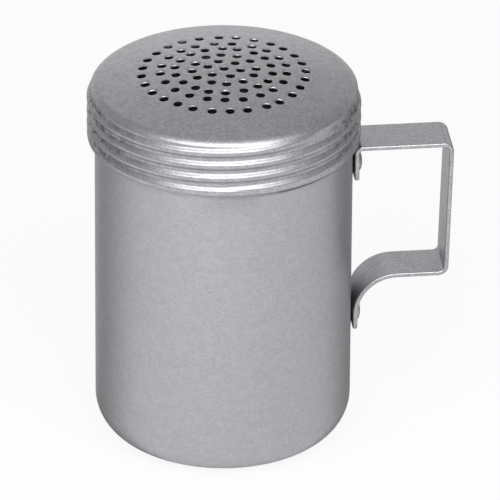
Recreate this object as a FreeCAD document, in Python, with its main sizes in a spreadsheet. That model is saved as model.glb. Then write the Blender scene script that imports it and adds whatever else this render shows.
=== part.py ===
import FreeCAD, Part
import Sketcher
import math
import os

# Sugar dredger: a drawn cup with a rolled screw neck, a pierced screw lid, a strap handle and its
# two rivets. The origin is the centre of the base, +Z is up and the handle stands out along +X.
# All lengths are millimetres, all angles degrees.

document = FreeCAD.newDocument("SugarDredger")

overallSizes = [
    ("overall_height", 102.0),
    ("seat_clearance", 0.3),
    ("overrun", 2.0),
]

containerSizes = [
    ("body_radius", 33.0),
    ("body_wall", 0.8),
    ("base_corner_radius", 9.5),
    ("neck_ridge_height", 0.9),
    ("neck_ridge_half_width", 0.95),
    ("neck_groove_depth", 0.45),
    ("neck_groove_half_width", 0.5),
    ("neck_ridge_start_angle", 490.0),
    ("neck_ridge_turns", 2.0),
    ("neck_groove_inset_angle", 20.0),
    ("rivet_hole_clearance", 0.05),
]

lipSizes = [
    ("lip_bead_radius", 0.8),
    ("lip_seat_depth", 0.45),
    ("lip_inset", 0.2),
    ("lip_headroom", 0.2),
]

lidSizes = [
    ("lid_wall", 0.7),
    ("thread_clearance", 0.4),
    ("lid_height", 18.8),
    ("lid_ridge_height", 0.9),
    ("lid_ridge_half_width", 1.5),
    ("lid_hollow_half_width", 1.2),
    ("lid_ridge_start_angle", 215.0),
    ("lid_ridge_turns", 3.27),
    ("lid_hollow_start_angle", 68.0),
    ("lid_hollow_turns", 3.45),
    ("lid_rim_height", 1.2),
    ("lid_rim_inset", 0.12),
    ("lid_rim_flank", 1.0),
    ("dome_rise", 4.6),
    ("shoulder_radius", 2.5),
    ("thread_pitch", 3.55),
    ("thread_drop", 1.3),
    ("hole_diameter", 2.3),
]

# One line for each ring of holes: name, ring radius, number of holes, angle of its first hole.
holeRings = [
    ("outer", 20.9, 28, -2.1),
    ("fifth", 16.1, 21, -10.2),
    ("fourth", 12.4, 18, 6.7),
    ("third", 8.05, 12, -1.1),
    ("second", 4.3, 6, -18.9),
]

handleSizes = [
    ("strap_width", 12.7),
    ("strap_thickness", 1.2),
    ("strap_seat_gap", 0.05),
    ("strap_end_radius", 1.0),
    ("handle_drop", 2.4),
    ("handle_reach", 25.7),
    ("handle_lean", 1.0),
    ("grip_length", 37.0),
    ("upper_tab_length", 9.8),
    ("lower_tab_length", 15.9),
    ("top_bend_radius", 0.8),
    ("grip_corner_radius", 1.4),
    ("sweep_radius", 10.2),
]

rivetSizes = [
    ("shank_radius", 1.6),
    ("head_radius", 2.8),
    ("head_height", 1.3),
    ("head_edge", 0.35),
    ("head_seat_gap", 0.08),
    ("clinch_radius", 2.5),
    ("clinch_height", 0.9),
    ("clinch_taper", 0.4),
    ("upper_rivet_inset", 3.1),
    ("lower_rivet_inset", 2.85),
]

sheet = document.addObject("Spreadsheet::Sheet", "Sheet")
rows = overallSizes + containerSizes + lipSizes + lidSizes + handleSizes + rivetSizes
for ring, ringRadius, holeCount, firstAngle in holeRings:
    rows.append((ring + "_ring_radius", ringRadius))
    rows.append((ring + "_ring_holes", holeCount))
    rows.append((ring + "_ring_angle", firstAngle))
for row, (alias, size) in enumerate(rows, start=1):
    sheet.set("A%d" % row, alias)
    sheet.set("B%d" % row, str(size))
    sheet.setAlias("B%d" % row, alias)
document.recompute()

# Heights and radii that follow from the driving dimensions, as expressions over the sheet.
boreRadius = "(Sheet.body_radius - Sheet.body_wall)"
rimHeight = "(Sheet.overall_height - Sheet.lid_height)"
lidCorner = "(Sheet.overall_height - Sheet.dome_rise)"
lidCornerInside = "(Sheet.overall_height - Sheet.dome_rise - Sheet.lid_wall)"
lidBore = "(Sheet.body_radius + Sheet.thread_clearance)"
lidGroove = "(%s + Sheet.lid_wall)" % lidBore
lidRadius = "(%s + Sheet.lid_ridge_height)" % lidGroove
lidRimRadius = "(%s - Sheet.lid_rim_inset)" % lidRadius
lidRimBore = "(%s - Sheet.lid_wall - Sheet.seat_clearance / 3)" % lidRadius
threadDatum = "(%s - Sheet.thread_drop)" % rimHeight
lipRadius = "(Sheet.body_radius - Sheet.lip_bead_radius - Sheet.lip_inset)"
lipTop = "(%s - Sheet.lip_headroom)" % lidCornerInside
lipCentre = "(%s - Sheet.lip_bead_radius)" % lipTop
neckTop = "(%s - Sheet.lip_seat_depth)" % lipCentre
strapInside = "(Sheet.body_radius + Sheet.strap_seat_gap)"
strapOutside = "(Sheet.body_radius + Sheet.strap_seat_gap + Sheet.strap_thickness)"
armTop = "(%s - Sheet.handle_drop)" % rimHeight
lowerArmTop = "(%s - Sheet.grip_length)" % armTop
gripReach = "(Sheet.body_radius + Sheet.handle_reach)"
tabEnds = {
    "upper": "(%s - Sheet.upper_tab_length)" % armTop,
    "lower": "(%s - Sheet.lower_tab_length)" % lowerArmTop,
}
rivetHeights = {
    place: "(%s + Sheet.%s_rivet_inset)" % (tabEnd, place) for place, tabEnd in tabEnds.items()
}
clinchSeat = "sqrt(%s ^ 2 - Sheet.clinch_radius ^ 2)" % boreRadius


def sizeOf(expression):
    return float(sheet.evalExpression(expression.replace("Sheet.", "")))


def originPlane(body, role):
    for feature in body.Origin.OriginFeatures:
        if feature.Role == role:
            return feature
    raise ValueError("no plane named " + role)


def newSketch(body, name, role="XZ_Plane", turnAxis=None, turn=None):
    # A sketch on one of the body's own planes, turned about an axis of the sketch if asked.
    sketch = body.newObject("Sketcher::SketchObject", name)
    sketch.AttachmentSupport = [(originPlane(body, role), "")]
    sketch.MapMode = "FlatFace"
    if turn:
        rotation = FreeCAD.Rotation(turnAxis, sizeOf(turn))
        sketch.AttachmentOffset = FreeCAD.Placement(FreeCAD.Vector(), rotation)
        sketch.setExpression("AttachmentOffset.Rotation.Angle", turn)
    return sketch


def placePoint(sketch, side, end, across, up):
    # Ties one point of the sketch to the two expressions, measured from the sketch's origin.
    for kind, axis, expression in (("DistanceX", -2, across), ("DistanceY", -1, up)):
        if expression == "0":
            sketch.addConstraint(Sketcher.Constraint("PointOnObject", side, end, axis))
            continue
        size = sizeOf(expression)
        index = sketch.addConstraint(Sketcher.Constraint(kind, -1, 1, side, end, size))
        sketch.setExpression("Constraints[%d]" % index, expression)


def drawProfile(sketch, corners, arcCentres=None):
    # A closed profile through the corners. A side listed in arcCentres is an arc, and its value
    # places the arc's centre across the sketch; the height follows from the two ends.
    arcCentres = arcCentres or {}
    points = [FreeCAD.Vector(sizeOf(across), sizeOf(up), 0) for across, up in corners]
    ends = []
    for side, start in enumerate(points):
        stop = points[(side + 1) % len(points)]
        if side not in arcCentres:
            sketch.addGeometry(Part.LineSegment(start, stop), False)
            ends.append((1, 2))
            continue
        across = sizeOf(arcCentres[side])
        middle = (start + stop) * 0.5
        chord = stop - start
        share = (across - middle.x) / -chord.y if abs(chord.y) > 0 else 0
        centre = FreeCAD.Vector(across, middle.y + share * chord.x, 0)
        first, last = [math.atan2(p.y - centre.y, p.x - centre.x) for p in (start, stop)]
        turning = (last - first) % (2 * math.pi)
        ends.append((1, 2) if turning < math.pi else (2, 1))
        if turning > math.pi:
            first, last = last, first
        circle = Part.Circle(centre, FreeCAD.Vector(0, 0, 1), start.distanceToPoint(centre))
        sketch.addGeometry(Part.ArcOfCircle(circle, first, last), False)
    for side in range(len(points)):
        after = (side + 1) % len(points)
        joined = Sketcher.Constraint("Coincident", side, ends[side][1], after, ends[after][0])
        sketch.addConstraint(joined)
    for side, (across, up) in enumerate(corners):
        placePoint(sketch, side, ends[side][0], across, up)
    for side, across in arcCentres.items():
        if across == "0":
            sketch.addConstraint(Sketcher.Constraint("PointOnObject", side, 3, -2))
            continue
        centred = Sketcher.Constraint("DistanceX", -1, 1, side, 3, sizeOf(across))
        index = sketch.addConstraint(centred)
        sketch.setExpression("Constraints[%d]" % index, across)
    return sketch


def drawCircle(sketch, across, up, radius):
    centre = FreeCAD.Vector(sizeOf(across), sizeOf(up), 0)
    circle = Part.Circle(centre, FreeCAD.Vector(0, 0, 1), sizeOf(radius))
    side = sketch.addGeometry(circle, False)
    placePoint(sketch, side, 3, across, up)
    index = sketch.addConstraint(Sketcher.Constraint("Radius", side, sizeOf(radius)))
    sketch.setExpression("Constraints[%d]" % index, radius)
    return sketch


def newBody(name):
    body = document.addObject("PartDesign::Body", name)
    body.Label = name
    return body


def turnProfile(body, name, corners, arcCentres=None):
    # A full turn of the profile about the upright axis.
    sketch = drawProfile(newSketch(body, name + "_profile"), corners, arcCentres)
    turned = body.newObject("PartDesign::Revolution", name)
    turned.Profile = sketch
    turned.ReferenceAxis = (sketch, ["V_Axis"])
    turned.Angle = 360
    document.recompute()
    return turned


def windRidge(body, name, kind, root, crest, halfWidth, startAngle, turns):
    # A rounded ridge, or the hollow of one, wound on the upright axis as a right-handed thread.
    # Every winding lies on the one thread line that starts from threadDatum above the handle.
    middle = "(%s + Sheet.thread_pitch * %s / 360)" % (threadDatum, startAngle)
    rise = "(%s - %s)" % (crest, root)
    arcRadius = "((%s ^ 2 + %s ^ 2) / (2 * %s))" % (halfWidth, rise, rise)
    corners = [
        (root, "(%s - %s)" % (middle, halfWidth)),
        (root, "(%s + %s)" % (middle, halfWidth)),
        (sunkRoot(root), "(%s + %s)" % (middle, halfWidth)),
        (sunkRoot(root), "(%s - %s)" % (middle, halfWidth)),
    ]
    upright = FreeCAD.Vector(0, 1, 0)
    sketch = newSketch(body, name + "_profile", turnAxis=upright, turn=startAngle)
    drawProfile(sketch, corners, {0: "(%s - %s)" % (crest, arcRadius)})
    before = body.Tip.Shape.Volume
    winding = body.newObject("PartDesign::" + kind, name)
    winding.Profile = sketch
    winding.ReferenceAxis = (sketch, ["V_Axis"])
    winding.Mode = 1
    winding.Pitch = sizeOf("Sheet.thread_pitch")
    winding.Turns = sizeOf(turns)
    winding.setExpression("Pitch", "Sheet.thread_pitch")
    winding.setExpression("Turns", turns)
    document.recompute()
    changed = winding.Shape.Volume - before
    if changed * (1 if kind == "AdditiveHelix" else -1) <= 0:
        raise ValueError(name + " changed no material")
    return winding


def sunkRoot(root):
    # The buried side of a ridge's profile, a third of a clearance inside the wall it grows from.
    return "(%s - Sheet.seat_clearance / 3)" % root


def roundEdges(body, name, wanted, radius):
    # Rounds the edges that the test accepts, and refuses to pass over a missing edge.
    base = body.Tip
    names = ["Edge%d" % (n + 1) for n, edge in enumerate(base.Shape.Edges) if wanted(edge)]
    if not names:
        raise ValueError("no edge found for " + name)
    rounding = body.newObject("PartDesign::Fillet", name)
    rounding.Base = (base, names)
    rounding.setExpression("Radius", radius)
    document.recompute()
    return rounding


def near(first, second):
    return abs(first - second) < 1e-4 * sizeOf("Sheet.overall_height")


def ringEdge(radius, height):
    # A test for the round edge of this radius at this height.
    def accepts(edge):
        if edge.Degenerated or not isinstance(edge.Curve, Part.Circle):
            return False
        curve = edge.Curve
        return near(curve.Radius, sizeOf(radius)) and near(curve.Center.z, sizeOf(height))

    return accepts


def crossEdge(across, up):
    # A test for the straight edge that crosses the strap at this place.
    def accepts(edge):
        middle = edge.BoundBox.Center
        wide = near(edge.BoundBox.YLength, sizeOf("Sheet.strap_width"))
        return wide and near(middle.x, sizeOf(across)) and near(middle.z, sizeOf(up))

    return accepts


def cutThrough(body, name, sketch):
    # Cuts the sketch's outline right through the body, both ways.
    before = body.Tip.Shape.Volume
    pocket = body.newObject("PartDesign::Pocket", name)
    pocket.Profile = sketch
    pocket.Type = "ThroughAll"
    pocket.Midplane = True
    document.recompute()
    if pocket.Shape.Volume >= before:
        raise ValueError(name + " cut nothing")
    return pocket


def drillForRivets(body, name):
    # The two rivet holes, along X, at the heights of the rivets, through cup wall and tabs only.
    radius = "(Sheet.shank_radius + Sheet.rivet_hole_clearance)"
    for place in ("upper", "lower"):
        sketch = newSketch(body, "%s_%s_hole_outline" % (name, place), "YZ_Plane")
        drawCircle(sketch, "0", rivetHeights[place], radius)
        before = body.Tip.Shape.Volume
        hole = body.newObject("PartDesign::Pocket", "%s_%s_hole" % (name, place))
        hole.Profile = sketch
        hole.Reversed = True
        hole.setExpression("Length", "%s + Sheet.head_height" % strapOutside)
        document.recompute()
        if hole.Shape.Volume >= before:
            raise ValueError(name + " has no rivet hole")


def makeContainer():
    # The cup, one sheet of even wall: flat base, round corner, straight side and threaded neck.
    body = newBody("container")
    corners = [
        ("0", "0"),
        ("Sheet.body_radius", "0"),
        ("Sheet.body_radius", neckTop),
        (boreRadius, neckTop),
        (boreRadius, "Sheet.body_wall"),
        ("0", "Sheet.body_wall"),
    ]
    turnProfile(body, "cup_wall", corners)
    outer = ringEdge("Sheet.body_radius", "0")
    roundEdges(body, "base_corner", outer, "Sheet.base_corner_radius")
    inner = ringEdge(boreRadius, "Sheet.body_wall")
    roundEdges(body, "inside_corner", inner, "Sheet.base_corner_radius - Sheet.body_wall")
    crest = "(Sheet.body_radius + Sheet.neck_ridge_height)"
    windRidge(
        body, "neck_ridge", "AdditiveHelix", "Sheet.body_radius", crest,
        "Sheet.neck_ridge_half_width", "Sheet.neck_ridge_start_angle", "Sheet.neck_ridge_turns",
    )
    windRidge(
        body, "neck_groove", "SubtractiveHelix", boreRadius,
        "(%s + Sheet.neck_groove_depth)" % boreRadius, "Sheet.neck_groove_half_width",
        "(Sheet.neck_ridge_start_angle + Sheet.neck_groove_inset_angle)",
        "(Sheet.neck_ridge_turns - 2 * Sheet.neck_groove_inset_angle / 360)",
    )
    drillForRivets(body, "wall")
    return body


def makeRolledLip():
    # The mouth's edge, rolled inwards to a bead that sits on the flat top of the neck.
    body = newBody("rolled_lip")
    seatHalf = "sqrt(Sheet.lip_bead_radius ^ 2 - Sheet.lip_seat_depth ^ 2)"
    corners = [
        ("(%s - %s)" % (lipRadius, seatHalf), neckTop),
        ("(%s + %s)" % (lipRadius, seatHalf), neckTop),
        (lipRadius, lipTop),
    ]
    turnProfile(body, "lip_bead", corners, {1: lipRadius, 2: lipRadius})
    return body


def makeLid():
    # The screw lid, one sheet: plain rim, threaded skirt, tight shoulder and a low pierced dome.
    body = newBody("lid")
    rimTop = "(%s + Sheet.lid_rim_height)" % rimHeight
    flankTop = "(%s + Sheet.lid_rim_flank)" % rimTop
    corners = [
        (lidRimRadius, rimHeight),
        (lidRimRadius, rimTop),
        (lidGroove, flankTop),
        (lidGroove, lidCorner),
        ("0", "Sheet.overall_height"),
        ("0", "(Sheet.overall_height - Sheet.lid_wall)"),
        (lidBore, lidCornerInside),
        (lidBore, "(%s - Sheet.seat_clearance)" % flankTop),
        (lidRimBore, "(%s - Sheet.seat_clearance)" % rimTop),
        (lidRimBore, rimHeight),
    ]
    turnProfile(body, "lid_shell", corners, {3: "0", 5: "0"})
    roundEdges(body, "shoulder", ringEdge(lidGroove, lidCorner), "Sheet.shoulder_radius")
    inner = ringEdge(lidBore, lidCornerInside)
    roundEdges(body, "inside_shoulder", inner, "Sheet.shoulder_radius - Sheet.lid_wall")
    windRidge(
        body, "lid_ridge", "AdditiveHelix", lidGroove, lidRadius,
        "Sheet.lid_ridge_half_width", "Sheet.lid_ridge_start_angle", "Sheet.lid_ridge_turns",
    )
    trimBelowRim(body)
    windRidge(
        body, "lid_hollow", "SubtractiveHelix", lidBore,
        "(%s + Sheet.lid_ridge_height)" % lidBore, "Sheet.lid_hollow_half_width",
        "Sheet.lid_hollow_start_angle", "Sheet.lid_hollow_turns",
    )
    pierceDome(body)
    return body


def trimBelowRim(body):
    # The ridge starts inside the rim, and what it leaves below the rim's edge is trimmed off.
    below = "(%s - Sheet.overrun)" % rimHeight
    beyond = "(%s + Sheet.overrun)" % lidRadius
    inside = "(%s - Sheet.overrun)" % lidBore
    corners = [(inside, below), (beyond, below), (beyond, rimHeight), (inside, rimHeight)]
    sketch = drawProfile(newSketch(body, "rim_trim_profile"), corners)
    before = body.Tip.Shape.Volume
    trim = body.newObject("PartDesign::Groove", "rim_trim")
    trim.Profile = sketch
    trim.ReferenceAxis = (sketch, ["V_Axis"])
    trim.Angle = 360
    document.recompute()
    if trim.Shape.Volume >= before:
        raise ValueError("the rim's trim cut nothing")


def pierceDome(body):
    # Holes in five rings about one in the middle.
    radius = "Sheet.hole_diameter / 2"
    sketch = drawCircle(newSketch(body, "middle_outline", "XY_Plane"), "0", "0", radius)
    cutThrough(body, "middle_hole", sketch)
    for ring, ringRadius, holeCount, firstAngle in holeRings:
        turn = "Sheet.%s_ring_angle" % ring
        sketch = newSketch(body, ring + "_outline", "XY_Plane", FreeCAD.Vector(0, 0, 1), turn)
        drawCircle(sketch, "Sheet.%s_ring_radius" % ring, "0", radius)
        hole = cutThrough(body, ring + "_first_hole", sketch)
        pattern = body.newObject("PartDesign::PolarPattern", ring + "_ring")
        pattern.Originals = [hole]
        pattern.Axis = (sketch, ["N_Axis"])
        pattern.Angle = 360
        pattern.setExpression("Occurrences", "Sheet.%s_ring_holes" % ring)
        body.Tip = pattern
        document.recompute()
        pierced = hole.Shape.Volume - pattern.Shape.Volume
        if pierced <= 0:
            raise ValueError(ring + " ring is not pierced")


def makeHandle():
    # A flat strap of even width: a tab on the cup under the lid, a level arm, the upright grip,
    # and a second arm that sweeps down into the lower tab.
    body = newBody("handle")
    thick = "Sheet.strap_thickness"
    foot = "(%s - Sheet.handle_lean)" % gripReach
    armUnder = "(%s - %s)" % (armTop, thick)
    lowerUnder = "(%s - %s)" % (lowerArmTop, thick)
    gripInsideTop = "(%s - %s)" % (gripReach, thick)
    gripInsideFoot = "(%s - %s)" % (foot, thick)
    corners = [
        (strapInside, tabEnds["upper"]),
        (strapInside, armTop),
        (gripReach, armTop),
        (foot, lowerUnder),
        (strapOutside, lowerUnder),
        (strapOutside, tabEnds["lower"]),
        (strapInside, tabEnds["lower"]),
        (strapInside, lowerArmTop),
        (gripInsideFoot, lowerArmTop),
        (gripInsideTop, armUnder),
        (strapOutside, armUnder),
        (strapOutside, tabEnds["upper"]),
    ]
    sketch = drawProfile(newSketch(body, "strap_outline"), corners)
    strap = body.newObject("PartDesign::Pad", "strap")
    strap.Profile = sketch
    strap.Midplane = True
    strap.setExpression("Length", "Sheet.strap_width")
    document.recompute()
    bends = [
        ("top_bend", corners[10], corners[1], "Sheet.top_bend_radius"),
        ("upper_grip_bend", corners[9], corners[2], "Sheet.grip_corner_radius"),
        ("lower_grip_bend", corners[8], corners[3], "Sheet.grip_corner_radius"),
        ("lower_sweep", corners[4], corners[7], "Sheet.sweep_radius"),
    ]
    for name, hollowSide, roundSide, radius in bends:
        roundEdges(body, name + "_hollow", crossEdge(*hollowSide), radius)
        roundEdges(body, name + "_round", crossEdge(*roundSide), "%s + %s" % (radius, thick))
    roundEdges(body, "tab_corners", tabCorner, "Sheet.strap_end_radius")
    drillForRivets(body, "strap")
    return body


def tabCorner(edge):
    # A test for the four short edges at the corners of the two tab ends.
    middle = edge.BoundBox.Center
    short = near(edge.Length, sizeOf("Sheet.strap_thickness"))
    atEnd = any(near(middle.z, sizeOf(tabEnd)) for tabEnd in tabEnds.values())
    return short and atEnd and near(edge.BoundBox.XLength, sizeOf("Sheet.strap_thickness"))


def makeRivet(name, height):
    # A domed head on the strap, a shank through strap and wall, and a clinched head inside.
    body = newBody(name)
    grip = "(%s + Sheet.head_seat_gap - %s)" % (strapOutside, clinchSeat)
    clinchEnd = "(%s + Sheet.clinch_height)" % grip
    # drawn from the clinched end upwards, so that every height is positive
    corners = [
        ("0", "0"),
        ("(Sheet.clinch_radius - Sheet.clinch_taper)", "0"),
        ("Sheet.clinch_radius", "Sheet.clinch_height"),
        ("Sheet.shank_radius", "Sheet.clinch_height"),
        ("Sheet.shank_radius", clinchEnd),
        ("Sheet.head_radius", clinchEnd),
        ("Sheet.head_radius", "(%s + Sheet.head_edge)" % clinchEnd),
        ("0", "(%s + Sheet.head_height)" % clinchEnd),
    ]
    turnProfile(body, name + "_solid", corners, {6: "0"})
    place = FreeCAD.Vector(sizeOf("%s - Sheet.clinch_height" % clinchSeat), 0, sizeOf(height))
    body.Placement = FreeCAD.Placement(place, FreeCAD.Rotation(FreeCAD.Vector(0, 1, 0), 90))
    body.setExpression("Placement.Base.x", "%s - Sheet.clinch_height" % clinchSeat)
    body.setExpression("Placement.Base.z", height)
    document.recompute()
    return body


bodies = [
    makeContainer(),
    makeRolledLip(),
    makeLid(),
    makeHandle(),
    makeRivet("upper_rivet", rivetHeights["upper"]),
    makeRivet("lower_rivet", rivetHeights["lower"]),
]
document.recompute()

for item in document.Objects:
    if "Invalid" in item.State or "Error" in item.State:
        raise ValueError("%s did not build: %s" % (item.Name, item.State))
for body in bodies:
    if body.Shape.isNull() or not body.Shape.isValid() or len(body.Shape.Solids) != 1:
        raise ValueError(body.Label + " is not one valid solid")

os.makedirs("parts", exist_ok=True)
for body in bodies:
    body.Shape.exportStep("parts/%s.step" % body.Label)
    box = body.Shape.BoundBox
    print("%s volume %.1f, height %.2f to %.2f" % (body.Label, body.Shape.Volume, box.ZMin, box.ZMax))
fill = math.pi * sizeOf(boreRadius) ** 2 * (sizeOf(neckTop) - sizeOf("Sheet.body_wall"))
print("capacity to the lip, corner left in: %.0f ml" % (fill / 1000))
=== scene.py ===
import math
import random

import bmesh
import bpy
from mathutils import Matrix, Vector


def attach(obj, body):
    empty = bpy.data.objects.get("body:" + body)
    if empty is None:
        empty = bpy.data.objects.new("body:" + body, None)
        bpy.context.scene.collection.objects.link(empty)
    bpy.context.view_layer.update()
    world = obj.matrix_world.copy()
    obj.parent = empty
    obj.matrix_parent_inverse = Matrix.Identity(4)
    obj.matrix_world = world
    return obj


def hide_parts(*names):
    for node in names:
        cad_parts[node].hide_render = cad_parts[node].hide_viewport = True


# A satin aluminium sugar dredger: drawn cup, screw lid with punched holes, strap handle, rivets.
# Pieces are shaped in millimetres and brought to metres when each one is finished.

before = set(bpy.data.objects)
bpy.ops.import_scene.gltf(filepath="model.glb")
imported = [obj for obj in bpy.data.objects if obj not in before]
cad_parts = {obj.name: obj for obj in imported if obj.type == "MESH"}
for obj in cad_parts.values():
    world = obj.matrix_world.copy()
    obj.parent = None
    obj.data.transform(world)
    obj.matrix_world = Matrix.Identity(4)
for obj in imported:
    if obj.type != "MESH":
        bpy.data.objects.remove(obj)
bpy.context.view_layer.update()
scene = bpy.context.scene
print("frame loaded:", ", ".join(sorted(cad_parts)))


# ways of working that several pieces share

mergeGap = 0.002  # points closer than this are one point
runGap = 1e-4  # and so are the ends of two runs of one line
placeGap = 0.01  # how nearly a point lies where it is looked for


def mm(value):
    # millimetres in metres
    return value / 1000


def addLine(bm, points):
    # a run of edges through points given as (away from the axis, up)
    verts = [bm.verts.new((across, 0, up)) for across, up in points]
    return verts, [bm.edges.new(pair) for pair in zip(verts, verts[1:])]


def spinLine(bm, points, steps, turn=0.0):
    # turns a line once round the upright axis into a skin
    verts, edges = addLine(bm, points)
    bmesh.ops.rotate(bm, verts=verts, cent=(0, 0, 0), matrix=Matrix.Rotation(turn, 3, "Z"))
    bmesh.ops.spin(bm, geom=verts + edges, cent=(0, 0, 0), axis=(0, 0, 1), dvec=(0, 0, 0),
                   angle=math.tau, steps=steps, use_merge=True)


def arcPoints(centre, radius, start, end, count):
    # points on an arc, its angles in degrees from level
    angles = [math.radians(start + (end - start) * n / count) for n in range(count + 1)]
    return [(centre[0] + radius * math.cos(a), centre[1] + radius * math.sin(a)) for a in angles]


def linePoints(start, end, spacing):
    # points along a straight, both ends left in
    length = math.dist(start, end)
    count = max(1, round(length / spacing))
    return [tuple(a + (b - a) * n / count for a, b in zip(start, end)) for n in range(count + 1)]


def joinRuns(*runs):
    # one line out of several, without the doubled points where they meet
    joined = []
    for run in runs:
        for point in run:
            if not joined or math.dist(joined[-1], point) > runGap:
                joined.append(point)
    return joined


def radiusOf(vert):
    # distance from the upright axis
    return math.hypot(vert.co.x, vert.co.y)


def finishPiece(bm, name, body, material, replaced):
    # merges, points the faces outwards, scales to metres and hangs the piece on its body, in the
    # place of the solids that it replaces
    bmesh.ops.remove_doubles(bm, verts=bm.verts, dist=mergeGap)
    bmesh.ops.recalc_face_normals(bm, faces=bm.faces)
    bmesh.ops.scale(bm, verts=bm.verts, vec=(mm(1), mm(1), mm(1)))
    mesh = bpy.data.meshes.new(name)
    bm.to_mesh(mesh)
    bm.free()
    mesh.shade_smooth()
    piece = bpy.data.objects.new(name, mesh)
    scene.collection.objects.link(piece)
    mesh.materials.append(material)
    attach(piece, body)
    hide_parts(*replaced)
    print("made", name, "with", len(mesh.polygons), "faces")
    return piece


def addWall(piece, thickness):
    # gives a skin its sheet thickness, inwards
    wall = piece.modifiers.new("sheet thickness", "SOLIDIFY")
    wall.thickness = mm(thickness)
    wall.offset = -1
    wall.use_even_offset = True
    return wall


flatWeight = 80  # how much more a large face says in the normals than a small one


def easeEdges(piece, width, segments=2, angle=40):
    # rounds the edges sharper than the angle a little and keeps the flats flat
    ease = piece.modifiers.new("eased edges", "BEVEL")
    ease.width = mm(width)
    ease.segments = segments
    ease.limit_method = "ANGLE"
    ease.angle_limit = math.radians(angle)
    ease.use_clamp_overlap = True
    flat = piece.modifiers.new("flats kept flat", "WEIGHTED_NORMAL")
    flat.keep_sharp = False
    flat.weight = flatWeight


# the screw thread, rolled into both the lid and the neck

thread = {
    "pitch": 3.55,
    "datum": 81.9,  # height of the thread line where it passes the handle
    "height": 0.9,  # of the lid's ridge, and its roundings on top and at its foot
    "crestRadius": 1.05,
    "valleyRadius": 1.1,
}


def ridgeShape(offset, height, crestRadius, valleyRadius):
    # how far a ridge stands out, at an offset along the axis from its crest line:
    # a round crest that runs straight into a hollow foot
    blend = math.acos(1 - height / (crestRadius + valleyRadius))
    crestHalf = crestRadius * math.sin(blend)
    half = (crestRadius + valleyRadius) * math.sin(blend)
    offset = abs(offset)
    if offset <= crestHalf:
        return height - crestRadius + math.sqrt(crestRadius ** 2 - offset ** 2)
    if offset < half:
        return valleyRadius - math.sqrt(valleyRadius ** 2 - (half - offset) ** 2)
    return 0.0


def threadLift(angle, height, start, end, fadeIn, fadeOut, shape):
    # the ridge's lift at one angle and height, over all its windings
    lift = 0.0
    winding = math.floor((start - angle) / math.tau)
    while angle + winding * math.tau <= end:
        along = angle + winding * math.tau
        winding += 1
        if along < start:
            continue
        crest = thread["datum"] + thread["pitch"] * along / math.tau
        if abs(height - crest) > thread["pitch"]:
            continue
        fade = min(1, (along - start) / fadeIn, (end - along) / fadeOut)
        fade = fade * fade * (3 - 2 * fade)
        lift = max(lift, fade * ridgeShape(height - crest, *shape))
    return lift


# shader nodes

def addNode(tree, kind, **values):
    # a node with some of its inputs or settings filled in
    node = tree.nodes.new(kind)
    for name, value in values.items():
        if name in node.inputs:
            node.inputs[name].default_value = value
        else:
            setattr(node, name, value)
    return node


def feed(tree, socket, value):
    # sets a socket to a number, or links it to another socket
    if isinstance(value, (int, float)):
        socket.default_value = value
    else:
        tree.links.new(value, socket)


def addBlend(tree, factor, first, second):
    # a number between two, by a factor from 0 to 1
    mix = addNode(tree, "ShaderNodeMix")
    tree.links.new(factor, mix.inputs["Factor"])
    feed(tree, mix.inputs[2], first)
    feed(tree, mix.inputs[3], second)
    return mix.outputs[0]


def addRange(tree, value, low, high, toLow=0.0, toHigh=1.0):
    # maps a number smoothly from one range to another
    span = addNode(tree, "ShaderNodeMapRange", interpolation_type="SMOOTHSTEP")
    for name, number in (("From Min", low), ("From Max", high),
                         ("To Min", toLow), ("To Max", toHigh)):
        span.inputs[name].default_value = number
    tree.links.new(value, span.inputs["Value"])
    return span.outputs["Result"]


def addStep(tree, value, band, toLow=0.0, toHigh=1.0):
    # the same over a band that is given in millimetres
    return addRange(tree, value, mm(band[0]), mm(band[1]), toLow, toHigh)


def addMath(tree, operation, *values):
    # one operation on numbers or sockets
    node = addNode(tree, "ShaderNodeMath", operation=operation)
    for socket, value in zip(node.inputs, values):
        feed(tree, socket, value)
    return node.outputs[0]


def addNoise(tree, vector, **values):
    # a noise texture over a position
    noise = addNode(tree, "ShaderNodeTexNoise", **values)
    tree.links.new(vector, noise.inputs["Vector"])
    return noise


def splitAxes(tree, vector):
    # a position's parts, by the names X, Y and Z
    axes = addNode(tree, "ShaderNodeSeparateXYZ")
    tree.links.new(vector, axes.inputs[0])
    return axes.outputs


# metal: one satin aluminium, worked differently on each piece

satin = {
    "mottleScale": 38.0,
    "mottleSpread": 0.03,  # what the mottle adds to the roughness or takes off it
    "grainSpan": (0.3, 0.7),  # the noise between these shades the colour
}


def makeGrainGroup():
    # fine scratches left by turning or rolling, with a soft mottle over them
    group = bpy.data.node_groups.new("satinGrain", "ShaderNodeTree")
    face = group.interface
    face.new_socket("Vector", in_out="INPUT", socket_type="NodeSocketVector")
    for name, value in (("Scratch Scale", 420.0), ("Speckle Scale", 2500.0), ("Speckle", 0.7)):
        socket = face.new_socket(name, in_out="INPUT", socket_type="NodeSocketFloat")
        socket.default_value = value
    face.new_socket("Grain", in_out="OUTPUT", socket_type="NodeSocketFloat")
    face.new_socket("Mottle", in_out="OUTPUT", socket_type="NodeSocketFloat")
    source = group.nodes.new("NodeGroupInput")
    sink = group.nodes.new("NodeGroupOutput")
    link = group.links.new
    vector = source.outputs["Vector"]
    scratch = addNoise(group, vector, Detail=3.0, Roughness=0.6)
    speckle = addNoise(group, vector, Detail=2.0, Roughness=0.5)
    mottle = addNoise(group, vector, Scale=satin["mottleScale"], Detail=3.0, Roughness=0.55)
    link(source.outputs["Scratch Scale"], scratch.inputs["Scale"])
    link(source.outputs["Speckle Scale"], speckle.inputs["Scale"])
    grain = addBlend(group, source.outputs["Speckle"], scratch.outputs["Fac"],
                     speckle.outputs["Fac"])
    link(grain, sink.inputs["Grain"])
    link(mottle.outputs["Fac"], sink.inputs["Mottle"])
    return group


grainGroup = makeGrainGroup()


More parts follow.
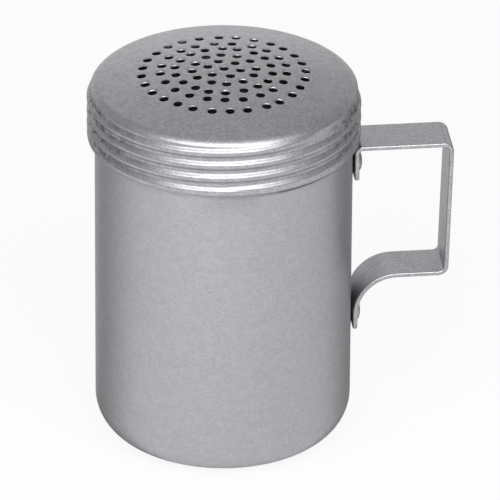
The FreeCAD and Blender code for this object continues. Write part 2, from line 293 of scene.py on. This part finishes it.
def makeSatin(name, colour, roughness, grain, paintedShade=None):
    # satin aluminium; the scratches are squeezed across their run, and painted shade darkens some
    # places
    material = bpy.data.materials.new(name)
    material.use_nodes = True
    tree = material.node_tree
    link = tree.links.new
    shader = tree.nodes["Principled BSDF"]
    shader.inputs["Metallic"].default_value = 1.0
    place = addNode(tree, "ShaderNodeTexCoord")
    stretch = addNode(tree, "ShaderNodeMapping", Scale=grain["stretch"])
    grains = addNode(tree, "ShaderNodeGroup", node_tree=grainGroup)
    grains.inputs["Speckle Scale"].default_value = grain["speckle"]
    link(place.outputs["Object"], stretch.inputs["Vector"])
    link(stretch.outputs["Vector"], grains.inputs["Vector"])
    rough = addRange(tree, grains.outputs["Mottle"], 0, 1,
                     roughness - satin["mottleSpread"], roughness + satin["mottleSpread"])
    link(rough, shader.inputs["Roughness"])
    shade = addRange(tree, grains.outputs["Grain"], *satin["grainSpan"],
                     1 - grain["contrast"], 1 + grain["contrast"])
    if paintedShade:
        shade = addMath(tree, "MULTIPLY", shade, paintedShade(tree, place.outputs["Object"]))
    tint = addNode(tree, "ShaderNodeMix", data_type="RGBA", blend_type="MULTIPLY", Factor=1.0)
    tint.inputs[6].default_value = colour
    link(shade, tint.inputs[7])
    link(tint.outputs[2], shader.inputs["Base Color"])
    bump = addNode(tree, "ShaderNodeBump", Distance=mm(grain["depth"]), Strength=1.0)
    link(grains.outputs["Grain"], bump.inputs["Height"])
    link(bump.outputs["Normal"], shader.inputs["Normal"])
    return material


# painted shade and painted dark reflections, in the lid's grooves and on the cup under the lid's
# rim; heights, radii and distances are in millimetres

lidPaintedShade = {
    "groove": (34.3, 34.95),  # radius of the grooves' floor, then of the crests, which are left unshaded
    "top": (96.0, 96.6),  # the painted shade ends below the shoulder
    "side": (20, 31),  # painted dark reflections grow towards these distances to the left and right
    "darkSpotScale": 420,
    "darkSpotStretch": (1, 1, 2.2),
    "darkSpotSpan": (0.42, 0.62),
    "everywhere": 0.03,  # shares of the colour that the painted shade takes
    "darkSpotShare": 0.58,
}

cupPaintedShade = {
    "belowNeck": (83.2, 84.0),  # the painted shade ends here; the neck above is left unshaded
    "band": (80.9, 82.7),  # a faint painted shadow that the lid's rim casts on the cup
    "bandShade": 0.2,
    "patch": (75, 81.5),  # a painted dark reflection below the middle of the rim, on the front alone
    "patchAt": -1,
    "patchWide": (3, 11),  # it fades out between these distances to either side
    "patchFront": (-12, 0),
    "patchShade": 0.11,
    "line": (81.65, 81.9),  # and a painted contact shadow line right under the rim, on the handle's side
    "lineFrom": (3, 12),
    "lineScale": 120,
    "lineSpan": (0.35, 0.55),
    "lineLeast": 0.35,
    "lineShade": 0.5,
}


def paintLidShade(tree, vector):
    # share of the colour left under the painted shade in the thread's grooves, darker in painted
    # spots towards the left and right
    at = splitAxes(tree, vector)
    flat = addNode(tree, "ShaderNodeMapping", Scale=(1, 1, 0))
    tree.links.new(vector, flat.inputs["Vector"])
    away = addNode(tree, "ShaderNodeVectorMath", operation="LENGTH")
    tree.links.new(flat.outputs["Vector"], away.inputs[0])
    # painted shade in the thread's grooves, left off the crests
    groove = addStep(tree, away.outputs["Value"], lidPaintedShade["groove"], 1, 0)
    inGrooves = addMath(tree, "MULTIPLY", groove, addStep(tree, at["Z"], lidPaintedShade["top"], 1, 0))
    # painted dark reflections, in spots that grow towards the left and right
    aside = addStep(tree, addMath(tree, "ABSOLUTE", at["X"]), lidPaintedShade["side"])
    along = addNode(tree, "ShaderNodeMapping", Scale=lidPaintedShade["darkSpotStretch"])
    tree.links.new(vector, along.inputs["Vector"])
    darkSpotNoise = addNoise(tree, along.outputs["Vector"], Scale=lidPaintedShade["darkSpotScale"], Detail=4.0,
                      Roughness=0.7)
    spots = addRange(tree, darkSpotNoise.outputs["Fac"], *lidPaintedShade["darkSpotSpan"])
    spots = addMath(tree, "MULTIPLY", spots, aside)
    dark = addMath(tree, "MULTIPLY_ADD", spots, lidPaintedShade["darkSpotShare"], lidPaintedShade["everywhere"])
    return addMath(tree, "MULTIPLY_ADD", addMath(tree, "MULTIPLY", dark, inGrooves), -1.0, 1.0)


def paintCupShade(tree, vector):
    # share of the colour that is left under the painted shadow and painted reflection below the
    # lid's rim
    at = splitAxes(tree, vector)
    belowNeck = addStep(tree, at["Z"], cupPaintedShade["belowNeck"], 1, 0)
    # painted shadow of the lid's rim on the cup
    band = addMath(tree, "MULTIPLY", addStep(tree, at["Z"], cupPaintedShade["band"]), belowNeck)

    # painted contact shadow right under the rim, broken up by noise
    line = addMath(tree, "MULTIPLY", addStep(tree, at["Z"], cupPaintedShade["line"]), belowNeck)
    line = addMath(tree, "MULTIPLY", line, addStep(tree, at["X"], cupPaintedShade["lineFrom"]))
    broken = addNoise(tree, vector, Scale=cupPaintedShade["lineScale"], Detail=2.0)
    pieces = addRange(tree, broken.outputs["Fac"], *cupPaintedShade["lineSpan"], cupPaintedShade["lineLeast"], 1)
    line = addMath(tree, "MULTIPLY", line, pieces)

    # painted dark reflection on the front, below the middle of the rim
    offMiddle = addMath(tree, "SUBTRACT", at["X"], mm(cupPaintedShade["patchAt"]))
    wide = addStep(tree, addMath(tree, "ABSOLUTE", offMiddle), cupPaintedShade["patchWide"], 1, 0)
    patch = addMath(tree, "MULTIPLY", addStep(tree, at["Z"], cupPaintedShade["patch"]), belowNeck)
    patch = addMath(tree, "MULTIPLY", patch, addStep(tree, at["Y"], cupPaintedShade["patchFront"], 1, 0))
    patch = addMath(tree, "MULTIPLY", patch, wide)

    dark = addMath(tree, "MULTIPLY", band, cupPaintedShade["bandShade"])
    dark = addMath(tree, "MULTIPLY_ADD", patch, cupPaintedShade["patchShade"], dark)
    dark = addMath(tree, "MULTIPLY_ADD", line, cupPaintedShade["lineShade"], dark)
    return addMath(tree, "MULTIPLY_ADD", dark, -1.0, 1.0)


aluminium = (0.53, 0.526, 0.553, 1)
rivetColour = (0.56, 0.556, 0.58, 1)
cutColour = (0.24, 0.24, 0.25, 1)

# the stretch squeezes the grain, the contrast is its share of the colour, the depth is millimetres
cupGrain = {"stretch": (1, 1, 1.5), "speckle": 2000, "contrast": 0.12, "depth": 0.003}
lidGrain = {"stretch": (1, 1, 1.3), "speckle": 1700, "contrast": 0.18, "depth": 0.003}
strapGrain = {"stretch": (1.2, 2, 1.5), "speckle": 2000, "contrast": 0.24, "depth": 0.003}
cupMetal = makeSatin("cupSatin", aluminium, roughness=0.43, grain=cupGrain, paintedShade=paintCupShade)
lidMetal = makeSatin("lidSatin", aluminium, roughness=0.42, grain=lidGrain, paintedShade=paintLidShade)
strapMetal = makeSatin("strapSatin", aluminium, roughness=0.38, grain=strapGrain)
rivetMetal = makeSatin("rivetSatin", rivetColour, roughness=0.36, grain=lidGrain)
cutMetal = makeSatin("punchedEdge", cutColour, roughness=0.5, grain=lidGrain)
print("metals ready")


# cup

cup = {
    "radius": 33.0,
    "wall": 0.8,
    "cornerRadius": 9.5,
    "neckFrom": 84.0,
    "neckTop": 95.25,
    "ridge": (0.9, 0.8, 0.3),  # the ridge's height, then its roundings on top and at its foot
    "ridgeStart": 482,  # degrees along the thread, from the handle at the datum
    "ridgeEnd": 1218,
    "ridgeFade": 26,
    "edgeEase": 0.12,
    "steps": 192,
    "cornerSteps": 16,
    "baseSpacing": 3.5,  # between the points of its line
    "sideSpacing": 4.0,
    "neckSpacing": 0.22,
}


def makeCup():
    bm = bmesh.new()
    radius, bend, neck = cup["radius"], cup["cornerRadius"], cup["neckFrom"]
    flat = radius - bend
    line = joinRuns(
        linePoints((0, 0), (flat, 0), cup["baseSpacing"]),
        arcPoints((flat, bend), bend, -90, 0, cup["cornerSteps"]),
        linePoints((radius, bend), (radius, neck), cup["sideSpacing"]),
        linePoints((radius, neck), (radius, cup["neckTop"]), cup["neckSpacing"]),
    )
    spinLine(bm, line, cup["steps"])
    bmesh.ops.remove_doubles(bm, verts=bm.verts, dist=mergeGap)
    start, end = math.radians(cup["ridgeStart"]), math.radians(cup["ridgeEnd"])
    fade = math.radians(cup["ridgeFade"])
    for vert in bm.verts:
        if vert.co.z < neck:
            continue
        angle = math.atan2(vert.co.y, vert.co.x) % math.tau
        lift = threadLift(angle, vert.co.z, start, end, fade, fade, cup["ridge"])
        vert.co.xy *= 1 + lift / radius
    piece = finishPiece(bm, "drawnCup", "container", cupMetal, ("container",))
    addWall(piece, cup["wall"])
    easeEdges(piece, cup["edgeEase"])


makeCup()


# rolled lip of the mouth

lip = {
    "centre": 32.0,
    "up": 95.7,
    "bead": 0.8,
    "seat": 95.25,  # its flat underside, on the neck's end
    "steps": 192,
    "beadSteps": 20,
}


def makeLip():
    bm = bmesh.new()
    drop = math.degrees(math.asin((lip["up"] - lip["seat"]) / lip["bead"]))
    bead = arcPoints((lip["centre"], lip["up"]), lip["bead"], -drop, 180 + drop,
                     lip["beadSteps"])
    spinLine(bm, bead + [bead[0]], lip["steps"])
    finishPiece(bm, "rolledLip", "lip_ring", cupMetal, ("rolled_lip",))


makeLip()


# screw lid

lid = {
    "bottom": 83.2,
    "top": 102.0,
    "grooveRadius": 34.1,
    "rimCrest": 84.3,
    "rimHeight": 0.85,
    "rimTuck": 2.4,  # radius of the rim's side below its crest
    "edgeRound": 0.3,
    "domeRise": 4.1,
    "shoulder": 0.95,  # the bend above the side
    "softShoulder": 3.5,  # wider bend between the dome and the tight one
    "softUntil": 36,  # degrees up at which it hands over
    "wall": 0.7,
    "ridgeStart": 235,  # degrees along the thread, from the handle at the datum
    "ridgeEnd": 1400,
    "fadeIn": 50,
    "fadeOut": 45,
    "steps": 224,
    "bendSteps": 8,
    "domeSpacing": 0.9,  # between the points of its line
    "sideSpacing": 0.17,
    "touchRounds": 6,
    "plainDome": 0.5,  # the thread's lift is worked out from this far inside the shoulder
    "holeRadius": 1.15,
    "holeEase": 0.08,
    "sinkRadii": (1.5, 1.3),  # where the metal drawn down by the punch starts and steepens
    "sinkDepth": (0.06, 0.3),
    "sinkShare": 0.25,  # of the depth where it steepens
    "cellSegments": 8,  # along each side of a hole's patch
    "cellHalf": 1.75,  # half the width of a ring of patches
    "middleRadius": 2.3,
    "middleSegments": 48,
    "scatterAround": 0.34,  # how far a hole may sit from its even place
    "scatterAcross": 0.2,
    "seed": 7,
}

# rings of holes from the rim inwards: ring radius, number of holes, angle of the first one
holeRings = [
    (20.9, 28, -2.1),
    (16.1, 21, -10.2),
    (12.4, 18, 6.7),
    (8.05, 12, -1.1),
    (4.3, 6, -18.9),
]


def ballRadius():
    # the lid's top is part of a large ball
    return (lid["grooveRadius"] ** 2 + lid["domeRise"] ** 2) / (2 * lid["domeRise"])


def domeHeight(radius):
    return lid["top"] - ballRadius() + math.sqrt(ballRadius() ** 2 - radius ** 2)


def domeLean(radius):
    # how far the dome tips outwards, in radians
    return math.asin(radius / ballRadius())


def lidLift(angle, height):
    # how far the skirt stands out of its grooves: the thread, or the rim, which is a ridge with
    # its lower half nearly straight and its edge turned in
    shape = (thread["height"], thread["crestRadius"], thread["valleyRadius"])
    above = height - lid["rimCrest"]
    if above > 0:
        rim = ridgeShape(above, lid["rimHeight"], thread["crestRadius"], thread["valleyRadius"])
    else:
        low = max(0, lid["edgeRound"] - (height - lid["bottom"]))
        tuck = lid["rimTuck"] - math.sqrt(lid["rimTuck"] ** 2 - above ** 2)
        turned = lid["edgeRound"] - math.sqrt(max(0, lid["edgeRound"] ** 2 - low ** 2))
        return lid["rimHeight"] - tuck - turned
    start, end = math.radians(lid["ridgeStart"]), math.radians(lid["ridgeEnd"])
    fadeIn, fadeOut = math.radians(lid["fadeIn"]), math.radians(lid["fadeOut"])
    return max(rim, threadLift(angle, height, start, end, fadeIn, fadeOut, shape))


def loopEdges(bm, radius):
    # the edges of the ring of points at this distance from the axis
    def onRing(vert):
        return abs(radiusOf(vert) - radius) < placeGap
    return [edge for edge in bm.edges if onRing(edge.verts[0]) and onRing(edge.verts[1])]


def edgesAmong(bm, verts):
    chosen = set(verts)
    return [edge for edge in bm.edges if edge.verts[0] in chosen and edge.verts[1] in chosen]


def addCircle(bm, radius, segments, centre=(0, 0)):
    verts = bmesh.ops.create_circle(bm, segments=segments, radius=radius)["verts"]
    bmesh.ops.translate(bm, verts=verts, vec=(centre[0], centre[1], 0))
    return edgesAmong(bm, verts)


def addPunchedCell(bm, ringRadius, share, angle, scatter):
    # one cell of a ring: a patch of the dome with its hole punched a little off the middle
    segments = lid["cellSegments"]
    patch = bmesh.ops.create_grid(bm, x_segments=segments, y_segments=segments, size=1)["verts"]
    border = [vert for vert in patch if max(abs(vert.co.x), abs(vert.co.y)) > 1 - placeGap]
    inside = [vert for vert in patch if vert not in border]
    bmesh.ops.delete(bm, geom=inside, context="VERTS")
    for vert in border:
        around = angle + vert.co.x * share
        away = ringRadius + vert.co.y * lid["cellHalf"]
        vert.co = (away * math.sin(around), away * math.cos(around), 0)
    outline = edgesAmong(bm, border)
    away = ringRadius + scatter.uniform(-1, 1) * lid["scatterAcross"]
    around = angle + scatter.uniform(-1, 1) * lid["scatterAround"] / ringRadius
    centre = (away * math.sin(around), away * math.cos(around))
    turn = Matrix.Rotation(-angle, 3, "Z")
    sink = scatter.uniform(*lid["sinkDepth"])
    loop = outline  # each circle has as many points as the patch's outline
    drops = (0, lid["sinkShare"] * sink, sink)
    for radius, drop in zip((*lid["sinkRadii"], lid["holeRadius"]), drops):
        edges = addCircle(bm, radius, 4 * segments)
        verts = list({vert for edge in edges for vert in edge.verts})
        bmesh.ops.rotate(bm, verts=verts, cent=(0, 0, 0), matrix=turn)
        bmesh.ops.translate(bm, verts=verts, vec=(centre[0], centre[1], -drop))
        bmesh.ops.bridge_loops(bm, edges=loop + edges)
        loop = edges


def makeLid():
    bm = bmesh.new()
    scatter = random.Random(lid["seed"])
    half = lid["cellHalf"]
    for ringRadius, holes, firstAngle in holeRings:
        for hole in range(holes):
            angle = math.radians(90 - firstAngle) - hole * math.tau / holes
            addPunchedCell(bm, ringRadius, math.pi / holes, angle, scatter)
    bmesh.ops.remove_doubles(bm, verts=bm.verts, dist=mergeGap)

    # the hole in the middle, then the plain rings between the rings of cells
    sink = sum(lid["sinkDepth"]) / 2
    drops = (0, 0, lid["sinkShare"] * sink, sink)
    middle = []
    for radius, drop in zip((lid["middleRadius"], *lid["sinkRadii"], lid["holeRadius"]), drops):
        middle.append(addCircle(bm, radius, lid["middleSegments"]))
        verts = list({vert for edge in middle[-1] for vert in edge.verts})
        bmesh.ops.translate(bm, verts=verts, vec=(0, 0, -drop))
    for outer, inner in zip(middle, middle[1:]):
        bmesh.ops.bridge_loops(bm, edges=outer + inner)
    outerRadii = [ringRadius - half for ringRadius, holes, firstAngle in holeRings]
    innerRadii = [ringRadius + half for ringRadius, holes, firstAngle in holeRings[1:]]
    innerRadii.append(lid["middleRadius"])
    for outerRadius, innerRadius in zip(outerRadii, innerRadii):
        bmesh.ops.bridge_loops(bm, edges=loopEdges(bm, outerRadius) + loopEdges(bm, innerRadius))
    for vert in bm.verts:
        vert.co.z += domeHeight(radiusOf(vert))

    # skirt: dome edge, both bends of the shoulder, then straight down to the rim
    inner = holeRings[0][0] + half
    until = math.radians(lid["softUntil"])
    softRadius, tightRadius = lid["softShoulder"], lid["shoulder"]
    inset = tightRadius * (1 - math.cos(until)) + softRadius * math.cos(until)
    touch = lid["grooveRadius"] - inset
    for _ in range(lid["touchRounds"]):  # settles on where the dome touches the bend
        lean = domeLean(touch)
        touch = lid["grooveRadius"] - inset + softRadius * math.sin(lean)
    soft = (touch - softRadius * math.sin(lean), domeHeight(touch) - softRadius * math.cos(lean))
    step = softRadius - tightRadius
    tight = (soft[0] + step * math.cos(until), soft[1] + step * math.sin(until))
    dome = [(r, domeHeight(r))
            for r, _ in linePoints((inner, 0), (touch, 0), lid["domeSpacing"])]
    shoulder = joinRuns(
        arcPoints(soft, softRadius, 90 - math.degrees(lean), lid["softUntil"], lid["bendSteps"]),
        arcPoints(tight, tightRadius, lid["softUntil"], 0, lid["bendSteps"]),
    )
    side = linePoints((lid["grooveRadius"], tight[1]), (lid["grooveRadius"], lid["bottom"]),
                      lid["sideSpacing"])
    cellTurn = math.radians(holeRings[0][2]) - math.pi / holeRings[0][1]
    spinLine(bm, joinRuns(dome, shoulder, side), lid["steps"], cellTurn)
    bmesh.ops.remove_doubles(bm, verts=bm.verts, dist=mergeGap)
    for vert in bm.verts:
        if radiusOf(vert) < touch - lid["plainDome"]:
            continue
        angle = math.atan2(vert.co.y, vert.co.x) % math.tau
        vert.co.xy *= 1 + lidLift(angle, vert.co.z) / radiusOf(vert)
    piece = finishPiece(bm, "screwLid", "lid", lidMetal, ("lid",))
    piece.data.materials.append(cutMetal)
    addWall(piece, lid["wall"]).material_offset_rim = 1  # the cut edges
    easeEdges(piece, lid["holeEase"])


makeLid()


# strap handle

strap = {
    "inside": 33.05,  # the tabs lie this far from the axis
    "thickness": 1.2,
    "width": 12.7,
    "upperEnd": 71.0,
    "armTop": 80.8,
    "reach": 58.6,
    "lean": 1.0,  # the grip's foot stands this much further in than its top
    "lowerArmTop": 43.8,
    "lowerEnd": 27.9,
    "topBend": 0.8,  # bends are given by their hollow side
    "topSteps": 8,
    "gripBend": 1.4,
    "gripSteps": 10,
    "sweep": 10.2,
    "sweepSteps": 20,
    "endRadius": 1.0,
    "endSteps": 5,
    "edgeEase": 0.42,
    "edgeSteps": 4,
    "edgeAngle": 50,
}


def bendStrap(bm, face, centre, degrees, steps):
    # turns the strap's end face about a line across the strap
    result = bmesh.ops.spin(bm, geom=[face], cent=(centre[0], 0, centre[1]), axis=(0, 1, 0),
                            dvec=(0, 0, 0), angle=math.radians(degrees), steps=steps)
    return [item for item in result["geom_last"] if isinstance(item, bmesh.types.BMFace)][0]


def runStrap(bm, face, along, up):
    # pushes the strap's end face on in a straight
    result = bmesh.ops.extrude_face_region(bm, geom=[face], use_keep_orig=False)
    end = [item for item in result["geom"] if isinstance(item, bmesh.types.BMFace)][0]
    bmesh.ops.translate(bm, verts=end.verts, vec=(along, 0, up))
    return end


def makeHandle():
    bm = bmesh.new()
    inside, thick = strap["inside"], strap["thickness"]
    outside, half = inside + thick, strap["width"] / 2
    corners = [(inside, -half), (outside, -half), (outside, half), (inside, half)]
    face = bm.faces.new([bm.verts.new((x, y, strap["upperEnd"])) for x, y in corners])

    # up the tab and round on to the arm; each bend's middle lies on the strap's hollow side
    bend, grip, sweep = strap["topBend"], strap["gripBend"], strap["sweep"]
    under = strap["armTop"] - thick
    lowTop = strap["lowerArmTop"]
    face = runStrap(bm, face, 0, under - bend - strap["upperEnd"])
    face = bendStrap(bm, face, (outside + bend, under - bend), 90, strap["topSteps"])
    leanAngle = math.degrees(math.atan2(strap["lean"], strap["armTop"] - lowTop))
    gripFrom = strap["reach"] - thick - grip
    face = runStrap(bm, face, gripFrom - (outside + bend), 0)
    face = bendStrap(bm, face, (gripFrom, under - grip), 90 + leanAngle, strap["gripSteps"])

    # down the grip, round under it, and back along the lower arm
    drop = under - grip - (lowTop + grip)
    slide = -drop * math.tan(math.radians(leanAngle))
    face = runStrap(bm, face, slide, -drop)
    face = bendStrap(bm, face, (gripFrom + slide, lowTop + grip), 90 - leanAngle,
                     strap["gripSteps"])
    sweepFrom = outside + sweep
    face = runStrap(bm, face, sweepFrom - (gripFrom + slide), 0)
    face = bendStrap(bm, face, (sweepFrom, lowTop - thick - sweep), -90, strap["sweepSteps"])
    runStrap(bm, face, 0, strap["lowerEnd"] - (lowTop - thick - sweep))

    # the cross sections left inside, where runs and bends meet, are taken out
    inner = [face for face in bm.faces if all(len(edge.link_faces) > 2 for edge in face.edges)]
    bmesh.ops.delete(bm, geom=inner, context="FACES_ONLY")

    # round the corners of both tab ends
    ends = [strap["upperEnd"], strap["lowerEnd"]]
    tips = [
        edge for edge in bm.edges
        if abs(edge.calc_length() - thick) < placeGap
        and min(abs(edge.verts[0].co.z - end) for end in ends) < placeGap
        and abs(edge.verts[0].co.z - edge.verts[1].co.z) < placeGap
    ]
    bmesh.ops.bevel(bm, geom=tips, offset=strap["endRadius"], offset_type="OFFSET",
                    segments=strap["endSteps"], profile=0.5, affect="EDGES", material=-1)
    piece = finishPiece(bm, "strapHandle", "container", strapMetal, ("handle",))
    easeEdges(piece, strap["edgeEase"], strap["edgeSteps"], strap["edgeAngle"])


makeHandle()


# rivets

rivet = {
    "headRadius": 2.8,
    "headHeight": 1.3,
    "headEdge": 0.35,  # the straight edge below the head's crown
    "crownSteps": 9,
    "headSeat": 34.33,  # seats are distances from the cup's axis
    "shankRadius": 1.6,
    "clinchSeat": 32.1,
    "clinchRadius": 2.5,
    "clinchHeight": 0.9,
    "clinchSlope": (0.5, 0.35),  # its slanted edge, across and along
    "edgeEase": 0.15,
    "steps": 40,
    "upperHeight": 74.1,
    "lowerHeight": 30.75,
}


def makeRivet(name, node, height):
    bm = bmesh.new()
    seat, clinch = rivet["headSeat"], rivet["clinchSeat"]
    top, tail = seat + rivet["headHeight"], clinch - rivet["clinchHeight"]
    edge, radius = seat + rivet["headEdge"], rivet["headRadius"]
    shank, tailRadius = rivet["shankRadius"], rivet["clinchRadius"]
    across, along = rivet["clinchSlope"]
    line = [(0, tail), (tailRadius - across, tail), (tailRadius, tail + along),
            (tailRadius, clinch), (shank, clinch), (shank, seat), (radius, seat), (radius, edge)]
    count = rivet["crownSteps"]
    crown = [(radius * math.cos(a), edge + (top - edge) * math.sin(a))
             for a in [math.radians(90 * n / count) for n in range(1, count + 1)]]
    spinLine(bm, joinRuns(line, crown), rivet["steps"])
    outwards = Matrix.Rotation(math.pi / 2, 3, "Y")
    bmesh.ops.rotate(bm, verts=bm.verts, cent=(0, 0, 0), matrix=outwards)
    bmesh.ops.translate(bm, verts=bm.verts, vec=(0, 0, height))
    piece = finishPiece(bm, name, "container", rivetMetal, (node,))
    easeEdges(piece, rivet["edgeEase"])


makeRivet("upperRivetHead", "upper_rivet", rivet["upperHeight"])
makeRivet("lowerRivetHead", "lower_rivet", rivet["lowerHeight"])


# studio: white floor and backdrop, one wide soft light in front, the sides kept dimmer by the
# world and by painted shade on the floor

studio = {
    "wallBack": 0.87,  # world strength low down behind, then beside and overhead
    "wallSide": 0.39,
    "ceiling": 0.5,
    "wallTurn": (0.2, 0.9),  # how far back, and how high, one gives way to the next
    "wallTop": (0.05, 0.75),
    "dimAside": (0.1, 0.32),  # off the middle, where the walls lose some of their tone
    "asideShare": 0.66,
    "backdropWide": (0.8, 0.97),  # how nearly straight behind the white backdrop stands
    "backdropHigh": (0.08, 0.3),
    "floorRadius": 1.5,
    "floorSegments": 64,
    "floorColour": 0.9,
    "paperColour": 0.98,  # the same paper as the camera sees it
    "paperRoughness": 0.9,
    "paperGloss": 0.1,
    "floorSides": 0.38,  # painted shade: the share of the floor's painted light left beside and behind
    "floorLean": (1.08, 0.98),  # painted light: share of its tone on the far left and the far right
    "leanAcross": (-60, 60),  # millimetres, as are the two lines below
    "fanFrom": (16, 23),  # the tone fans out from two points, so far aside and in front
    "fanLeast": 1,
    "fanDim": (-5, 50),  # degrees round from the side at which it starts and ends to dim
    "fanBack": (54, 68),  # and brightens again behind
    "shadowShare": 0.1,  # how much of the lit paper the camera sees through the white
    "lightAzimuth": -6,
    "lightElevation": 44,
    "lightDistance": 0.9,  # metres, as are its aim's height and its size
    "lightAim": 0.06,
    "lightSize": (1.3, 0.55),
    "lightPower": 7.6,
}
white = (1, 1, 1, 1)


def makeWorld():
    # the camera sees plain white; reflections see the backdrop white and the rest of the room
    world = bpy.data.worlds.new("studio")
    scene.world = world
    world.use_nodes = True
    tree = world.node_tree
    link = tree.links.new
    where = addNode(tree, "ShaderNodeTexCoord")
    at = splitAxes(tree, where.outputs["Generated"])
    wall = addBlend(tree, addRange(tree, at["Y"], *studio["wallTurn"]),
                    studio["wallSide"], studio["wallBack"])
    tone = addBlend(tree, addRange(tree, at["Z"], *studio["wallTop"]), wall, studio["ceiling"])
    share = addRange(tree, addMath(tree, "ABSOLUTE", at["X"]), *studio["dimAside"], 1,
                     studio["asideShare"])
    room = tree.nodes["Background"]
    room.inputs["Color"].default_value = white
    link(addMath(tree, "MULTIPLY", tone, share), room.inputs["Strength"])
    seen = addNode(tree, "ShaderNodeBackground", Color=white, Strength=1.0)
    backdrop = addMath(tree, "MULTIPLY", addRange(tree, at["Y"], *studio["backdropWide"]),
                       addRange(tree, at["Z"], *studio["backdropHigh"], 1, 0))
    path = addNode(tree, "ShaderNodeLightPath")
    mirrored = addMath(tree, "ADD", path.outputs["Is Glossy Ray"],
                       path.outputs["Is Transmission Ray"])
    plain = addMath(tree, "MULTIPLY_ADD", mirrored, backdrop, path.outputs["Is Camera Ray"])
    mix = addNode(tree, "ShaderNodeMixShader")
    link(plain, mix.inputs[0])
    link(room.outputs[0], mix.inputs[1])
    link(seen.outputs[0], mix.inputs[2])
    link(mix.outputs[0], tree.nodes["World Output"].inputs["Surface"])


def makePaper(tree):
    # matt paper, its colour still to be given
    paper = addNode(tree, "ShaderNodeBsdfPrincipled", Roughness=studio["paperRoughness"])
    paper.inputs["Specular IOR Level"].default_value = studio["paperGloss"]
    return paper


def paintFloorFalloff(tree):
    # a painted pool of the lamp's light on the floor: brightest in front, dimmer beside and
    # behind, bright again straight behind
    where = addNode(tree, "ShaderNodeTexCoord")
    at = splitAxes(tree, where.outputs["Object"])
    aside = addMath(tree, "SUBTRACT", addMath(tree, "ABSOLUTE", at["X"]),
                    mm(studio["fanFrom"][0]))
    aside = addMath(tree, "MAXIMUM", aside, mm(studio["fanLeast"]))
    behind = addMath(tree, "ADD", at["Y"], mm(studio["fanFrom"][1]))
    fan = addMath(tree, "ARCTAN2", behind, aside)
    dim = addRange(tree, fan, *[math.radians(a) for a in studio["fanDim"]])
    notBack = addRange(tree, fan, *[math.radians(a) for a in studio["fanBack"]], 1, 0)
    share = addBlend(tree, addMath(tree, "MULTIPLY", dim, notBack), 1.0, studio["floorSides"])
    lean = addStep(tree, at["X"], studio["leanAcross"], *studio["floorLean"])
    return addMath(tree, "MULTIPLY", addMath(tree, "MULTIPLY", share, lean),
                   studio["floorColour"])


def makeFloor():
    # the camera sees white paper with the object's own soft shadow; the metal sees the paper with
    # a painted falloff of light towards the sides and the back
    bm = bmesh.new()
    bmesh.ops.create_circle(bm, cap_ends=True, segments=studio["floorSegments"],
                            radius=studio["floorRadius"])
    mesh = bpy.data.meshes.new("studioFloor")
    bm.to_mesh(mesh)
    bm.free()
    floor = bpy.data.objects.new("studioFloor", mesh)
    scene.collection.objects.link(floor)
    material = bpy.data.materials.new("paperFloor")
    mesh.materials.append(material)
    material.use_nodes = True
    tree = material.node_tree
    link = tree.links.new
    tree.nodes.remove(tree.nodes["Principled BSDF"])

    tone = paintFloorFalloff(tree)
    grey = addNode(tree, "ShaderNodeCombineColor")
    for channel in ("Red", "Green", "Blue"):
        link(tone, grey.inputs[channel])
    seenByMetal, litPaper = makePaper(tree), makePaper(tree)
    link(grey.outputs[0], seenByMetal.inputs["Base Color"])
    litPaper.inputs["Base Color"].default_value = (*[studio["paperColour"]] * 3, 1)
    glow = addNode(tree, "ShaderNodeEmission", Color=white)
    shaded = addNode(tree, "ShaderNodeMixShader")
    shaded.inputs[0].default_value = studio["shadowShare"]
    link(glow.outputs[0], shaded.inputs[1])
    link(litPaper.outputs[0], shaded.inputs[2])
    path = addNode(tree, "ShaderNodeLightPath")
    mix = addNode(tree, "ShaderNodeMixShader")
    link(path.outputs["Is Camera Ray"], mix.inputs[0])
    link(seenByMetal.outputs[0], mix.inputs[1])
    link(shaded.outputs[0], mix.inputs[2])
    link(mix.outputs[0], tree.nodes["Material Output"].inputs["Surface"])


def pointFrom(azimuth, elevation):
    # towards a compass place round the dredger, 0 being the front
    a, e = math.radians(azimuth), math.radians(elevation)
    return Vector((math.sin(a) * math.cos(e), -math.cos(a) * math.cos(e), math.sin(e)))


def addSoftLight():
    away = pointFrom(studio["lightAzimuth"], studio["lightElevation"])
    data = bpy.data.lights.new("frontSoftbox", "AREA")
    data.shape = "RECTANGLE"
    data.size, data.size_y = studio["lightSize"]
    data.energy = studio["lightPower"]
    light = bpy.data.objects.new("frontSoftbox", data)
    light.location = Vector((0, 0, studio["lightAim"])) + away * studio["lightDistance"]
    light.rotation_euler = away.to_track_quat("Z", "Y").to_euler()
    scene.collection.objects.link(light)


makeWorld()
makeFloor()
addSoftLight()
print("studio lit")


# camera: the photograph's own view, a long lens from a little above

view = {
    "azimuth": -6.5,
    "elevation": 28.0,
    "distance": 2000,  # millimetres, as are the aim and the offsets
    "roll": 0.375,
    "lens": 559.2,
    "sensor": 36,
    "clip": (0.05, 20),  # metres
    "aimHeight": 45,
    "offRight": 6.9,  # the picture's middle, off the aim
    "offUp": 4.21,
}


def makeCamera():
    away = pointFrom(view["azimuth"], view["elevation"])
    aim = Vector((0, 0, mm(view["aimHeight"])))
    roll = Matrix.Rotation(math.radians(view["roll"]), 3, "Z")
    turn = away.to_track_quat("Z", "Y").to_matrix() @ roll
    place = aim + away * mm(view["distance"])
    target = aim + turn @ Vector((mm(view["offRight"]), mm(view["offUp"]), 0))
    turn = (place - target).to_track_quat("Z", "Y").to_matrix() @ roll
    data = bpy.data.cameras.new("photoCamera")
    data.lens = view["lens"]
    data.sensor_width = view["sensor"]
    data.clip_start, data.clip_end = view["clip"]
    camera = bpy.data.objects.new("photoCamera", data)
    camera.matrix_world = Matrix.Translation(place) @ turn.to_4x4()
    scene.collection.objects.link(camera)
    scene.camera = camera


makeCamera()
scene.view_settings.view_transform = "Standard"
print("camera set")
